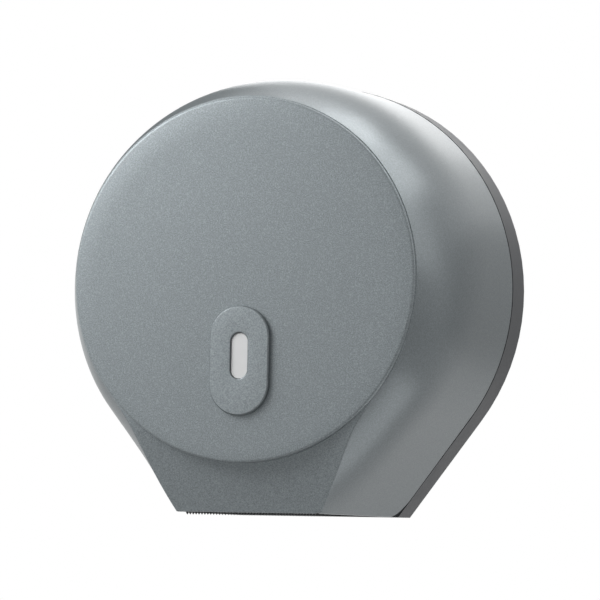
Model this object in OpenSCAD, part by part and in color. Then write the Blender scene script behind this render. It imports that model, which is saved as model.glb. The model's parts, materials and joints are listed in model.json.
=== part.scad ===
// Jumbo toilet roll dispenser: a wall tray, a cover that tips forward on two pins at its foot,
// a lock with a hooked cam in the top of the cover, and a finned hub that carries the roll.
// Millimetres. The wall is the plane y = 0, the front faces -y, +z is up and the origin is
// where the axis of the roll meets the wall. A depth is measured back from the front disc.

/* [Tray] */
// Radius of the round part of the tray
tray_r = 135; // [130:1:160]
// Depth of the tray's rim, from the wall
tray_depth = 22; // [18:0.5:30]
// Thickness of the tray's rim
tray_wall = 3; // [2:0.1:4]
// Thickness of the tray's floor
floor_t = 3; // [2.5:0.1:4]
// Half the width of the tray at its flat foot
tray_foot = 59.5; // [56:0.5:75]
// How far the flat foot lies below the round part
foot_below = 10; // [6:0.5:20]
// Width of a slot for a wall screw
slot_w = 5.5; // [4:0.5:7]
// Length of a slot for a wall screw
slot_l = 12; // [8:1:16]
// Distance between wall slots, across
slot_dx = 150; // [110:5:160]
// Distance between wall slots, up
slot_dz = 120; // [80:5:130]

/* [Cover] */
// Depth of the whole dispenser up to the front disc
body_depth = 150; // [140:1:175]
// Radius of the front disc
disc_r = 114.5; // [106:0.5:118]
// How far the disc stands proud of the cheek
disc_step = 3; // [2:0.5:5]
// Radius of the shoulder where the cheek starts
shoulder_r = 115.3; // [108:0.1:120]
// How far the tray's rim stands proud of the cover's rear edge
cover_inset = 0.3; // [0.1:0.1:3]
// Depth over which the cheek bulges out
bulge_depth = 80; // [60:1:100]
// Widening of the cheek towards the wall, over its whole depth
cheek_draft = 3.6; // [1:0.1:5]
// Wall of the cheek
cheek_t = 2.5; // [2:0.1:3.5]
// Wall of the front
front_t = 3; // [2.5:0.1:4]
// Half the width of the chin at the foot
chin_foot = 48.8; // [46:0.2:50]
// How far the foot of the chin lies behind the disc
chin_back = 18; // [12:0.5:24]
// How far the front of a flank is hollowed between the disc and the foot
flank_dip = 3.5; // [0:0.5:4]
// Gap between the cover and the tray
cover_gap = 0.7; // [0.5:0.1:1]

/* [Window] */
// Width of the bezel
bezel_w = 40; // [36:1:46]
// Height of the bezel
bezel_h = 68.5; // [64:0.5:76]
// How far the bezel stands proud of the disc
bezel_t = 3; // [2:0.5:5]
// Height of the bezel's centre below the roll's axis
bezel_drop = 51; // [46:1:56]
// Width of the level slot
level_w = 11.5; // [8:0.5:14]
// Height of the level slot
level_h = 29; // [22:1:34]
// Height of the slot's centre below the roll's axis
level_drop = 48; // [46:1:52]
// Thickness of the milky pane's edge
pane_t = 1.6; // [1:0.1:2]
// How far the raised part of the pane lies behind the bezel's front
pane_recess = 1.2; // [0.8:0.1:4]

/* [Roll] */
// Radius of a full roll
roll_r = 95; // [80:1:98]
// Width of the roll
roll_w = 92; // [80:1:95]
// Outer radius of the cardboard core
core_r = 30; // [28:0.5:34]
// Wall of the cardboard core
core_t = 1.8; // [1.2:0.1:2.4]
// Clearance between the hub's fins and the core
core_fit = 0.4; // [0.3:0.1:1]
// Number of fins on the hub
fins = 6; // [4:1:8]
// Radius of the fixed axle
axle_r = 10; // [8:0.5:12]
// Running clearance of the hub on the axle
hub_fit = 0.06; // [0.03:0.01:0.1]

/* [Hinge] */
// Radius of a hinge pin
pin_r = 2.5; // [2:0.1:3]
// Running clearance of the cover on a hinge pin
pin_fit = 0.06; // [0.03:0.01:0.1]
// Height of the hinge above the foot
hinge_rise = 9; // [8:0.5:11]
// Thickness of a hinge ear
ear_t = 4.5; // [3.5:0.5:5]

/* [Lock] */
// Distance of the lock's axis in front of the tray's rim
lock_ahead = 28; // [26:1:38]
// Radius of the lock barrel
barrel_r = 6.5; // [5.5:0.1:7]
// Reach of the hooked cam
cam_reach = 23.3; // [22:0.1:26]
// Thickness of the cam
cam_t = 2.5; // [2:0.1:3]

/* [Tear strip] */
// Distance between two teeth
tooth_pitch = 2; // [1.5:0.1:4]
// Depth of a tooth
tooth_h = 1.6; // [1:0.1:2.5]
// Height of the plain part of the strip
strip_h = 14; // [12:0.5:18]
// Thickness of the strip
strip_t = 1.2; // [0.8:0.1:1.5]

/* [Hidden] */
$fn = 64;
eps = 0.01;
arc_steps = 60;
flank_steps = 5;
chin_steps = 3;
depth_steps = 9;

// Height of the roll's axis above the foot, and the lock's distance from the wall
foot_drop = tray_r + foot_below;
lock_y = tray_depth + lock_ahead;

// The cover, as depths behind the front disc; the hollow runs on past the foot
hollow_reach = 1.08;
rear = body_depth - tray_depth - cover_gap;
rear_r = tray_r - cover_inset;
crown = rear_r - cheek_draft - shoulder_r;
rear_foot = tray_foot - cover_inset / 2;

// The hinge
hinge_z = hinge_rise - foot_drop;
corner_r = hinge_rise;
hinge_y = -(tray_depth + corner_r + 0.5);
ear_x = rear_foot - 4.8;
boss_r = 7;
pin_end = ear_x + 6.3;

// The spindle, as distances from the wall
pad_r = 36;
pad_y = floor_t + 6;
flange_r = 34;
flange_y = pad_y + 4;
shoulder_y = flange_y + 12;
washer_y = shoulder_y + 1.5;
hub_y = washer_y + 0.1;
hub_plate_r = 44;
hub_plate_t = 3;
roll_y = hub_y + hub_plate_t + 0.2;
sleeve_r = axle_r + 3;
axle_y = roll_y + roll_w - 10;
fin_r = core_r - core_t - core_fit;
fin_t = 2.4;
fin_y = roll_y + roll_w - 5;
spindle_screw_r = 1.8;
spindle_ring = 27;

// The lock, from the crown of the cover downwards
crown_z = rear_r - cheek_draft * (lock_y - tray_depth) / rear;
housing_z = crown_z - 2.3;
housing_r = 12;
flange_lock_r = 20.5;
flange_lock_z = housing_z - 11.1;
head_r = barrel_r + 2.5;
head_t = 2;
cam_z = flange_lock_z - 0.3 - cam_t;
tab_drop = 4;
tab_r = cam_reach - 3;
housing_screw_x = 16;

// The strike on the tray
lip_y = lock_y - tab_r + 1;
lip_t = 2.3;
lip_half = 5;
strike_t = 2.5;
shelf_z = cam_z - tab_drop - 5;
strike_pad_y = floor_t + 4;

// The window, as distances from the wall
front_y = body_depth;
spigot_w = 24;
spigot_h = 44;
spigot_y = body_depth - front_t - 1.5;
pane_y = spigot_y - pane_t;
retainer_w = 34;
retainer_h = 62;
retainer_y = pane_y - 1.5;
retainer_screw_dz = 27.5;

// The tear strip
chin_low = cover_point(0, 0, cheek_t, front_t, hollow_reach, rear);
chin_high = cover_point(1, 0, cheek_t, front_t, hollow_reach, rear);
chin_angle = atan2(chin_low[1] - chin_high[1], chin_high[2] - chin_low[2]);
chin_foot_y = chin_low[1] + (foot_drop + chin_low[2]) * tan(chin_angle);
strip_gap = 0.15;
teeth = 2 * floor((chin_foot - 4) / tooth_pitch);
strip_w = teeth * tooth_pitch;
strip_screw_x = 32;

// ---- Outline: a circle with a flank on each side that runs down to a flat foot ----

// Direction of the line at right angles to the right flank, in degrees
function flank_turn(r, foot) = atan2(-foot_drop, foot) + acos(r / norm([foot, foot_drop]));

// A point on the right flank: 0 is where it leaves the circle and 1 is at the foot
function flank_point(r, foot, t, inset, dip) =
    let (a = flank_turn(r, foot),
        length = (foot_drop + r * sin(a)) / cos(a),
        out = r - inset - dip * 4 * t * (1 - t))
    [out * cos(a) + length * t * sin(a), out * sin(a) - length * t * cos(a)];

// The outline from the right foot over the top to the left foot
function outline(r, foot, inset = 0, reach = 1, dip = 0) =
    let (a = flank_turn(r, foot),
        flank = [for (i = [0:flank_steps]) flank_point(r, foot, reach * i / flank_steps, inset, dip)])
    [
        for (i = [flank_steps:-1:1]) flank[i],
        for (i = [0:arc_steps]) let (b = a + (180 - 2 * a) * i / arc_steps)
            (r - inset) * [cos(b), sin(b)],
        for (i = [1:flank_steps]) [-flank[i][0], flank[i][1]]
    ];

// ---- Cover surface ----

// What is left of the shaping at the front: 1 at the shoulder, 0 where the bulge ends
function front_shape(depth) = pow(1 - min(1, max(0, (depth - disc_step) / bulge_depth)), 3);

function cheek_r(depth) =
    rear_r - cheek_draft * (rear - depth) / (rear - disc_step) - crown * front_shape(depth);

function cheek_foot(depth) =
    chin_foot + (rear_foot - chin_foot) * (depth - chin_back) / (rear - chin_back);

// How far down the chin a point of the outline lies, from 0 above it to 1 at the foot
function fall(i, reach) =
    let (down = reach * max(0, flank_steps - i, i - flank_steps - arc_steps))
    max(0, down - flank_steps + chin_steps) / chin_steps;

function cover_point(i, s, inset, front, reach, last) =
    let (first = disc_step + front + (chin_back - disc_step) * fall(i, reach),
        depth = first + (last - first) * s,
        p = outline(cheek_r(depth), cheek_foot(depth), inset, reach,
            flank_dip * front_shape(depth))[i])
    [p[0], depth - body_depth, p[1]];

// A solid loft from the front of the cover to its rear edge
module cover_loft(inset, front, reach, last) {
    count = arc_steps + 2 * flank_steps + 1;
    points = [for (j = [0:depth_steps]) for (i = [0:count - 1])
        cover_point(i, pow(j / depth_steps, 1.5), inset, front, reach, last)];
    walls = [for (j = [0:depth_steps - 1]) for (i = [0:count - 1])
        let (a = j * count + i, b = j * count + (i + 1) % count)
        each [[a, b, b + count], [a, b + count, a + count]]];
    chin = [for (k = [0:flank_steps - 1]) [k, count - 1 - k, count - 2 - k, k + 1]];
    round_front = [for (i = [flank_steps + arc_steps:-1:flank_steps]) i];
    far = depth_steps * count;
    low_back = [for (k = [0:flank_steps - 1])
        [far + k + 1, far + count - 2 - k, far + count - 1 - k, far + k]];
    round_back = [for (i = [flank_steps:flank_steps + arc_steps]) far + i];
    polyhedron(points, concat(walls, chin, low_back, [round_front, round_back]), convexity = 6);
}

// ---- Helpers ----

// A round bar along y, from distance a to distance b from the wall
module bar_y(r, a, b) {
    translate([0, -a, 0])
        rotate([90, 0, 0])
            cylinder(r = r, h = b - a);
}

// A round bar along x
module bar_x(r, a, b) {
    translate([a, 0, 0])
        rotate([0, 90, 0])
            cylinder(r = r, h = b - a);
}

// A plate with the tray's outline, from distance a to distance b from the wall
module tray_plate(inset, a, b) {
    translate([0, -a, 0])
        rotate([90, 0, 0])
            linear_extrude(b - a)
                polygon(outline(tray_r, tray_foot, inset, 1));
}

module box(x, y, z) {
    translate([x[0], y[0], z[0]])
        cube([x[1] - x[0], y[1] - y[0], z[1] - z[0]]);
}

module pill_outline(w, h) {
    translate([-w / 2, -(h - w) / 2])
        square([w, h - w]);
    for (side = [-1, 1])
        translate([0, side * (h - w) / 2])
            circle(d = w);
}

// A pill-shaped plate that faces the front, from distance a to distance b from the wall
module pill(w, h, drop, a, b) {
    translate([0, -a, -drop])
        rotate([90, 0, 0])
            linear_extrude(b - a)
                pill_outline(w, h);
}

// The space in front of the tray's floor, inside its rim
module tray_hollow() {
    intersection() {
        tray_plate(tray_wall, floor_t, tray_depth + 1);
        box([-tray_r, tray_r], [-tray_depth - 1, 0], [tray_wall - foot_drop, tray_r]);
    }
}

module at_wall_slots() {
    for (x = [-1, 1])
        for (z = [-1, 1])
            translate([x * slot_dx / 2, 0, z * slot_dz / 2])
                children();
}

module wall_slot(w, l, a, b) {
    translate([0, -a, 0])
        rotate([90, 0, 0])
            linear_extrude(b - a)
                rotate(90)
                    pill_outline(w, l);
}

// Positions on a ring round the spindle
module around_spindle(count, r, start = 0) {
    for (i = [0:count - 1])
        rotate([0, start + 360 * i / count, 0])
            translate([r, 0, 0])
                children();
}

// The place and slope of the inner face of the chin at its foot
module at_chin() {
    translate([0, chin_foot_y, -foot_drop])
        rotate([-chin_angle, 0, 0])
            translate([0, strip_gap, 0])
                children();
}

// ---- Tray ----

module base_plate() {
    color([0.20, 0.21, 0.22])
        difference() {
            union() {
                difference() {
                    tray_plate(0, 0, tray_depth);
                    tray_hollow();
                }
                location_lip();
                bar_y(pad_r, floor_t - eps, pad_y);
                floor_ribs();
                at_wall_slots()
                    bar_y(11, floor_t - eps, floor_t + 2);
                box([-15, 15], [-strike_pad_y, -floor_t + eps], [shelf_z - 19, shelf_z]);
                for (side = [-1, 1])
                    hinge_ear(side);
            }
            at_wall_slots()
                wall_slot(slot_w, slot_l, -1, floor_t + 3);
            around_spindle(4, spindle_ring, 45)
                bar_y(spindle_screw_r, floor_t + 0.5, pad_y + 1);
            for (side = [-1, 1])
                translate([side * 9, 0, shelf_z - 11])
                    bar_y(1.6, floor_t - 1, strike_pad_y + 1);
            translate([0, hinge_y, hinge_z])
                bar_x(pin_r, -ear_x - 1, ear_x + 1);
        }
}

// The upstand inside the cover's rear edge, round the arc of the tray
module location_lip() {
    lip_r = rear_r - cheek_t - 0.7;
    rotate([90, 0, 0])
        rotate([0, 0, -20])
            rotate_extrude(angle = 220, $fn = 120)
                translate([lip_r - 2.4, floor_t - eps])
                    square([2.4, tray_depth + 4.3 - floor_t]);
}

module floor_ribs() {
    for (r = [62, 104])
        rotate([90, 0, 0])
            rotate_extrude($fn = 120)
                translate([r, floor_t - eps])
                    square([2, 4]);
    around_spindle(12, pad_r - 2, 15)
        box([0, 93 - pad_r], [-floor_t - 4, -floor_t + eps], [-1, 1]);
}

module hinge_ear(side) {
    x = side > 0 ? [ear_x - ear_t, ear_x] : [-ear_x, ear_t - ear_x];
    box(x, [hinge_y, -floor_t + eps], [hinge_z - boss_r, hinge_z + boss_r]);
    translate([0, hinge_y, hinge_z])
        bar_x(boss_r, x[0], x[1]);
}

// ---- Cover ----

module front_cover() {
    color([0.62, 0.64, 0.65])
        difference() {
            union() {
                cover_loft(0, 0, 1, rear);
                bar_y(disc_r, body_depth - disc_depth(), body_depth, $fn = 120);
            }
            difference() {
                union() {
                    cover_loft(cheek_t, front_t, hollow_reach, rear + 5);
                    bar_y(disc_r - cheek_t, body_depth - disc_depth() - 3, body_depth - front_t,
                        $fn = 120);
                }
                cover_bosses();
            }
            pill(spigot_w, spigot_h, level_drop, spigot_y, body_depth + 1);
            at_retainer_screws()
                bar_y(1.4, spigot_y, body_depth + 1);
            translate([0, -lock_y, flange_lock_z])
                cylinder(r = housing_r + 0.05, h = 20);
            at_housing_screws()
                translate([0, 0, flange_lock_z])
                    cylinder(r = 1.5, h = 9);
            translate([0, hinge_y, hinge_z])
                bar_x(pin_r + pin_fit, -pin_end - 0.2, pin_end + 0.2);
            rear_corner();
        }
}

// Depth of the disc's side wall, down to where it meets the chin
function disc_depth() = chin_back - (foot_drop - disc_r) * tan(chin_angle) + front_t;

module cover_bosses() {
    translate([0, -lock_y, flange_lock_z + 3])
        cylinder(r = flange_lock_r, h = 20);
    for (side = [-1, 1])
        translate([0, hinge_y, hinge_z])
            bar_x(boss_r, side > 0 ? ear_x + 0.4 : -ear_x - 15, side > 0 ? ear_x + 15 : -ear_x - 0.4);
}

// The foot of the cover's rear edge is rounded about the hinge so that it clears the tray
module rear_corner() {
    difference() {
        box([-tray_r, tray_r], [hinge_y, -tray_depth + 8], [hinge_z - corner_r - 8, hinge_z]);
        translate([0, hinge_y, hinge_z])
            bar_x(corner_r, -tray_r - 1, tray_r + 1);
    }
}

// ---- Window ----

module at_retainer_screws() {
    for (side = [-1, 1])
        translate([0, 0, side * retainer_screw_dz - level_drop])
            children();
}

module window_bezel() {
    color([0.64, 0.66, 0.67])
        difference() {
            union() {
                pill(bezel_w, bezel_h, bezel_drop, front_y, front_y + bezel_t);
                pill(spigot_w - 0.2, spigot_h - 0.2, level_drop, spigot_y, front_y + eps);
            }
            pill(level_w, level_h, level_drop, spigot_y - 1, front_y + bezel_t + 1);
            at_retainer_screws()
                bar_y(1.2, spigot_y, front_y + bezel_t - 0.8);
        }
}

// The pane lies behind the spigot, and its raised part fills the slot from behind
module window_pane() {
    color([0.88, 0.9, 0.9, 0.8])
        union() {
            pill(spigot_w - 4, spigot_h - 4, level_drop, pane_y, spigot_y);
            pill(level_w - 0.2, level_h - 0.2, level_drop, pane_y,
                front_y + bezel_t - pane_recess);
        }
}

module pane_retainer() {
    color([0.3, 0.31, 0.32])
        difference() {
            pill(retainer_w, retainer_h, level_drop, retainer_y, front_y - front_t);
            pill(spigot_w + 0.2, spigot_h + 0.2, level_drop, spigot_y, front_y);
            pill(spigot_w - 3.8, spigot_h - 3.8, level_drop, pane_y, front_y);
            pill(level_w + 3, level_h + 3, level_drop, retainer_y - 1, front_y);
            at_retainer_screws() {
                bar_y(1.4, retainer_y - 1, front_y);
                bar_y(2.6, retainer_y - 1, retainer_y + 1.6);
            }
        }
}

module retainer_screws() {
    color("silver")
        at_retainer_screws()
            cross_screw(2.5, 1.5, 1.2, front_y + bezel_t - 1 - retainer_y - 1.5, retainer_y);
}

// A screw driven towards the front: head radius, head height, shank radius, length, place
module cross_screw(head_r, head_h, shank_r, length, y) {
    difference() {
        union() {
            bar_y(head_r, y, y + head_h);
            bar_y(shank_r, y + head_h - eps, y + head_h + length);
        }
        screw_cross(head_r, y - 1, y + head_h * 0.6);
    }
}

module screw_cross(head_r, a, b) {
    for (turn = [0, 90])
        rotate([0, turn, 0])
            box([-head_r * 0.6, head_r * 0.6], [-b, -a], [-head_r * 0.12, head_r * 0.12]);
}

// A screw driven towards the wall
module wall_way_screw(head_r, head_h, shank_r, length, y) {
    translate([0, -2 * y, 0])
        mirror([0, 1, 0])
            cross_screw(head_r, head_h, shank_r, length, y);
}

// ---- Tear strip ----

module tear_strip() {
    color([0.25, 0.26, 0.27])
        difference() {
            at_chin()
                rotate([90, 0, 0])
                    translate([0, 0, -strip_t])
                        linear_extrude(strip_t)
                            polygon(strip_outline());
            at_strip_screws()
                bar_y(1.5, -5, 5);
        }
}

function strip_outline() = concat(
    [[strip_w / 2, strip_h], [-strip_w / 2, strip_h]],
    [for (i = [0:2 * teeth]) [-strip_w / 2 + i * tooth_pitch / 2, i % 2 == 0 ? 0 : -tooth_h]]);

module at_strip_screws() {
    for (x = [-strip_screw_x, 0, strip_screw_x])
        at_chin()
            translate([x, 0, strip_h / 2])
                children();
}

module tear_strip_screws() {
    color("silver")
        at_strip_screws()
            translate([0, strip_t + 1.3, 0])
                cross_screw(2.8, 1.3, 1.45, strip_t, 0);
}

// ---- Hinge ----

module hinge_pin(side) {
    color("silver")
        translate([0, hinge_y, hinge_z])
            mirror([side > 0 ? 0 : 1, 0, 0]) {
                bar_x(pin_r + 1.7, ear_x - ear_t - 2, ear_x - ear_t);
                bar_x(pin_r, ear_x - ear_t - eps, pin_end);
            }
}

module hinge_pin_left() {
    hinge_pin(-1);
}

module hinge_pin_right() {
    hinge_pin(1);
}

// ---- Spindle and roll ----

module spindle_post() {
    color([0.2, 0.21, 0.22])
        difference() {
            union() {
                bar_y(flange_r, pad_y, flange_y);
                bar_y(axle_r + 5, flange_y - eps, shoulder_y);
                bar_y(axle_r, shoulder_y - eps, axle_y);
            }
            around_spindle(4, spindle_ring, 45)
                bar_y(spindle_screw_r + 0.2, pad_y - 1, flange_y + 1);
            bar_y(2.5, axle_y - 22, axle_y + 1);
        }
}

module spindle_screws() {
    color("silver")
        around_spindle(4, spindle_ring, 45)
            wall_way_screw(3.6, 2.2, spindle_screw_r, flange_y - floor_t - 1, flange_y + 2.2);
}

module friction_washer() {
    color([0.12, 0.12, 0.12])
        difference() {
            bar_y(axle_r + 5, shoulder_y, washer_y);
            bar_y(axle_r + 0.2, shoulder_y - 1, washer_y + 1);
        }
}

module roll_hub() {
    color([0.85, 0.85, 0.83])
        difference() {
            union() {
                bar_y(hub_plate_r, hub_y, hub_y + hub_plate_t);
                bar_y(sleeve_r, hub_y, axle_y - 0.2);
                around_spindle(fins, 0)
                    hub_fin();
                difference() {
                    bar_y(fin_r, fin_y - 6, fin_y - 3);
                    bar_y(fin_r - 5, fin_y - 7, fin_y);
                }
            }
            bar_y(axle_r + hub_fit, hub_y - 1, fin_y + 1);
        }
}

// A fin with its outer front corner cut off, so that a core slides on easily
module hub_fin() {
    mirror([0, 1, 0])
        translate([0, 0, -fin_t / 2])
            linear_extrude(fin_t)
                polygon(fin_outline());
}

function fin_outline() = [
    [sleeve_r - 1, hub_y + hub_plate_t - eps], [fin_r, hub_y + hub_plate_t - eps],
    [fin_r, fin_y - 4], [fin_r - 4, fin_y], [fin_r - 9, fin_y], [fin_r - 9, axle_y - 12],
    [sleeve_r - 1, axle_y - 12]
];

module hub_washer() {
    color("silver")
        difference() {
            bar_y(axle_r + 4, axle_y, axle_y + 1.5);
            bar_y(2.7, axle_y - 1, axle_y + 2);
        }
}

module hub_screw() {
    color("silver")
        wall_way_screw(5, 3.2, 2.5, 20, axle_y + 1.5 + 3.2);
}

module roll_core() {
    color([0.72, 0.6, 0.45])
        difference() {
            bar_y(core_r, roll_y, roll_y + roll_w, $fn = 96);
            bar_y(core_r - core_t, roll_y - 1, roll_y + roll_w + 1, $fn = 96);
        }
}

module paper_roll() {
    color([0.95, 0.95, 0.94])
        difference() {
            bar_y(roll_r, roll_y, roll_y + roll_w, $fn = 120);
            bar_y(core_r, roll_y - 1, roll_y + roll_w + 1, $fn = 96);
        }
}

// ---- Lock ----

module at_housing_screws() {
    for (turn = [180, 270])
        translate([0, -lock_y, 0])
            rotate([0, 0, turn])
                translate([housing_screw_x, 0, 0])
                    children();
}

module lock_housing() {
    color([0.2, 0.21, 0.22])
        difference() {
            translate([0, -lock_y, 0]) {
                translate([0, 0, flange_lock_z])
                    cylinder(r = flange_lock_r, h = 3);
                translate([0, 0, flange_lock_z])
                    cylinder(r = housing_r, h = housing_z - flange_lock_z);
            }
            translate([0, -lock_y, flange_lock_z - 1])
                cylinder(r = barrel_r + hub_fit, h = 20);
            translate([0, -lock_y, housing_z - head_t])
                cylinder(r = head_r + 0.1, h = 5);
            at_housing_screws()
                translate([0, 0, flange_lock_z - 1]) {
                    cylinder(r = 1.7, h = 6);
                    cylinder(r = 3.1, h = 2.8);
                }
        }
}

module housing_screws() {
    color("silver")
        at_housing_screws()
            difference() {
                translate([0, 0, flange_lock_z + 0.2]) {
                    cylinder(r = 3, h = 1.6);
                    cylinder(r = 1.5, h = 8);
                }
                for (turn = [0, 90])
                    rotate([0, 0, turn])
                        translate([-1.8, -0.35, flange_lock_z])
                            cube([3.6, 0.7, 1]);
            }
}

module lock_barrel() {
    color([0.8, 0.8, 0.78])
        translate([0, -lock_y, 0])
            difference() {
                union() {
                    translate([0, 0, housing_z - head_t])
                        cylinder(r = head_r, h = head_t);
                    translate([0, 0, cam_z + cam_t])
                        cylinder(r = barrel_r, h = housing_z - head_t - cam_z - cam_t + eps);
                    translate([-3.5, -3.5, cam_z])
                        cube([7, 7, cam_t + 1]);
                }
                translate([-5, -0.9, housing_z - 3])
                    cube([10, 1.8, 4]);
                translate([0, 0, cam_z - 1])
                    cylinder(r = 1.5, h = 8);
            }
}

module lock_cam() {
    color("silver")
        translate([0, -lock_y, cam_z])
            difference() {
                union() {
                    cylinder(r = 7, h = cam_t);
                    translate([0, -4, 0])
                        cube([cam_reach - 0.5, 8, cam_t]);
                    intersection() {
                        translate([tab_r, -4, -tab_drop])
                            cube([3, 8, tab_drop + cam_t]);
                        translate([0, 0, -tab_drop])
                            cylinder(r = cam_reach, h = tab_drop + cam_t);
                    }
                }
                translate([-3.55, -3.55, -1])
                    cube([7.1, 7.1, cam_t + 2]);
            }
}

module cam_screw() {
    color("silver")
        translate([0, -lock_y, cam_z - 2.2])
            difference() {
                union() {
                    cylinder(r = 5.2, h = 2.2);
                    cylinder(r = 1.5, h = 8.5);
                }
                for (turn = [0, 90])
                    rotate([0, 0, turn])
                        translate([-2.4, -0.5, -1])
                            cube([4.8, 1, 2.2]);
            }
}

module lock_strike() {
    color("silver")
        difference() {
            union() {
                box([-14, 14], [-strike_pad_y - strike_t, -strike_pad_y],
                    [shelf_z - 18, shelf_z]);
                box([-14, 14], [-lip_y - lip_t + eps, -strike_pad_y],
                    [shelf_z - strike_t, shelf_z]);
                box([-lip_half, lip_half], [-lip_y - lip_t, -lip_y],
                    [shelf_z - strike_t, cam_z - 0.7]);
            }
            for (side = [-1, 1])
                translate([side * 9, 0, shelf_z - 11])
                    bar_y(1.8, 0, strike_pad_y + strike_t + 1);
        }
}

module strike_screws() {
    color("silver")
        for (side = [-1, 1])
            translate([side * 9, 0, shelf_z - 11])
                wall_way_screw(3, 1.8, 1.6, strike_t + 4.5, strike_pad_y + strike_t + 1.8);
}

base_plate();
front_cover();
window_bezel();
window_pane();
pane_retainer();
retainer_screws();
tear_strip();
tear_strip_screws();
hinge_pin_left();
hinge_pin_right();
spindle_post();
spindle_screws();
friction_washer();
roll_hub();
hub_washer();
hub_screw();
roll_core();
paper_roll();
lock_housing();
housing_screws();
lock_barrel();
lock_cam();
cam_screw();
lock_strike();
strike_screws();
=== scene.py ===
# %% [markdown]
# # A wall dispenser for a jumbo toilet roll
#
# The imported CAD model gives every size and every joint. This lesson puts the looks on it: the
# sprayed silver cover, its window, the moulded tray, the roll and the small metal pieces.
# Distances are metres. The wall is the plane y = 0, the front faces -y and +z is up. The
# origin is where the roll's axis meets the wall.

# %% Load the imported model
import json
import math

import bmesh
import bpy
import numpy as np
from mathutils import Matrix, Vector


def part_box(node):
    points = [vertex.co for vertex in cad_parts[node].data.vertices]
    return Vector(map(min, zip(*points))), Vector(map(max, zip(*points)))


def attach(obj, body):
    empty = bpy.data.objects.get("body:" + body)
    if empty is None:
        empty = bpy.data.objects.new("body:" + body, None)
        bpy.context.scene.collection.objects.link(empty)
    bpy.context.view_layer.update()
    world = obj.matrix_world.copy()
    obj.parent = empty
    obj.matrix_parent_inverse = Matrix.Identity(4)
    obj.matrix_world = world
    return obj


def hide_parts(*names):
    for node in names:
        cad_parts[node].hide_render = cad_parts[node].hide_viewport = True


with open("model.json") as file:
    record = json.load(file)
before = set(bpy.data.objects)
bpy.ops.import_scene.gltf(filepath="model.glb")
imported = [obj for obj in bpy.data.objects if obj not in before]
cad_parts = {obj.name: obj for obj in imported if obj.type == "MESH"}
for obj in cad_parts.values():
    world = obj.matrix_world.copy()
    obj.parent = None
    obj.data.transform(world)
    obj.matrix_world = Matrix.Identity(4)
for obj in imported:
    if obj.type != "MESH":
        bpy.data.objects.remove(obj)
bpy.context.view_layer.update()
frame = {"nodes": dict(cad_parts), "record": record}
nodes = frame["nodes"]

# %% [markdown]
# ## From arrays of points to a piece
#
# A moulded shell could be sculpted or box-modelled, but its sizes come from the CAD model, so
# each surface is worked out as a grid of points, all at once in numpy. Several grids share
# their edge points, and welding those points makes one closed skin. Edges sharper than a
# chosen angle stay crisp, and everything else is shaded smooth.

# %% Grids, welding and shading
WELD = 1e-6  # points closer than this are one point


def in_scene(name, data):
    """A new object that holds the data, linked into the scene."""
    made = bpy.data.objects.new(name, data)
    bpy.context.scene.collection.objects.link(made)
    return made


def grid(points, around=False):
    """Vertices and quads of a (rows, columns, 3) grid: each quad joins four neighbours, and
    with around the last column meets the first again."""
    rows, cols = points.shape[:2]
    index = np.arange(rows * cols).reshape(rows, cols)
    if around:
        index = np.hstack([index, index[:, :1]])
    quads = np.stack([index[:-1, :-1], index[:-1, 1:], index[1:, 1:], index[1:, :-1]], -1)
    return points.reshape(-1, 3), quads.reshape(-1, 4)


def new_piece(name, grids, sharp=35.0):
    """One object from several grids: their vertices are stacked, each grid's quads count on
    from the last grid's vertices, near points are welded and the faces turned outwards."""
    starts = np.cumsum([0] + [len(v) for v, _ in grids[:-1]])
    verts = np.vstack([v for v, _ in grids])
    quads = np.vstack([q + s for (_, q), s in zip(grids, starts)])
    mesh = bpy.data.meshes.new(name)
    mesh.from_pydata(verts, [], quads.tolist())
    work = bmesh.new()
    work.from_mesh(mesh)
    bmesh.ops.remove_doubles(work, verts=work.verts, dist=WELD)
    bmesh.ops.recalc_face_normals(work, faces=work.faces)
    open_edges = sum(1 for e in work.edges if not e.is_manifold)
    work.to_mesh(mesh)
    work.free()
    mesh.shade_smooth()
    mesh.set_sharp_from_angle(angle=math.radians(sharp))
    print(f"{name}: {len(mesh.polygons)} faces, {open_edges} open edges")
    return in_scene(name, mesh)


def between(a, b, steps):
    """Rows of points from loop a to loop b: a + (b - a) t, with t in even steps."""
    t = np.linspace(0, 1, steps)[:, None, None]
    return a[None] + (b - a)[None] * t


# %% [markdown]
# ## The cover's sizes
#
# The cover is one injection moulding: a round disc at the front, a shoulder round it, a chin
# that falls back below it, and a cheek that bulges out towards the wall and runs down to a
# flat foot in two straight flanks. A depth is measured back from the disc.

# %% Sizes of the cover
DISC_Y, DISC_R = -0.150, 0.1145  # the disc's front face and its radius
STEP, SHOULDER_R = 0.0022, 0.1151  # how far the shoulder lies behind the disc, its radius
REAR, REAR_R, DRAFT = 0.1273, 0.1347, 0.0036  # the rear edge's depth and radius; the draft
BULGE, LOW_BULGE = 0.093, 0.0635  # depth over which the cheek swells, at the top and low down
LOW_FROM = 0.36  # below this angle over level, in radians, the cheek begins to be low down
FOOT_Z, CHIN_FOOT, REAR_FOOT = 0.145, 0.0488, 0.05935  # how far down the foot is, half widths
CHIN_BACK = 0.018  # how far the chin falls back
DIP, DIP_BACK = 0.0044, 0.050  # hollow of the flank, and the depth at which it ends
DIP_EASE, FALL_EASE = 0.14, 0.015  # how softly the hollow and the chin's bend begin
WALL, FRONT = 0.0025, 0.003  # thickness of the wall and of the front
FILLET = 0.0002  # the smallest round, at the foot of the disc and on the rims
WINDOW_W, WINDOW_H, WINDOW_DROP = 0.024, 0.044, 0.048  # opening behind the bezel
HINGE_Y, HINGE_Z = -0.0315, -0.136  # axis of the hinge pins
CORNER_BACK, CORNER_UP = 0.009, 0.015  # the rounded rear corner of the foot
LOCK_Y, LOCK_HOLE, LOCK_BOSS = -0.050, 0.01205, 0.0205  # the lock's axis, hole and boss
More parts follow.
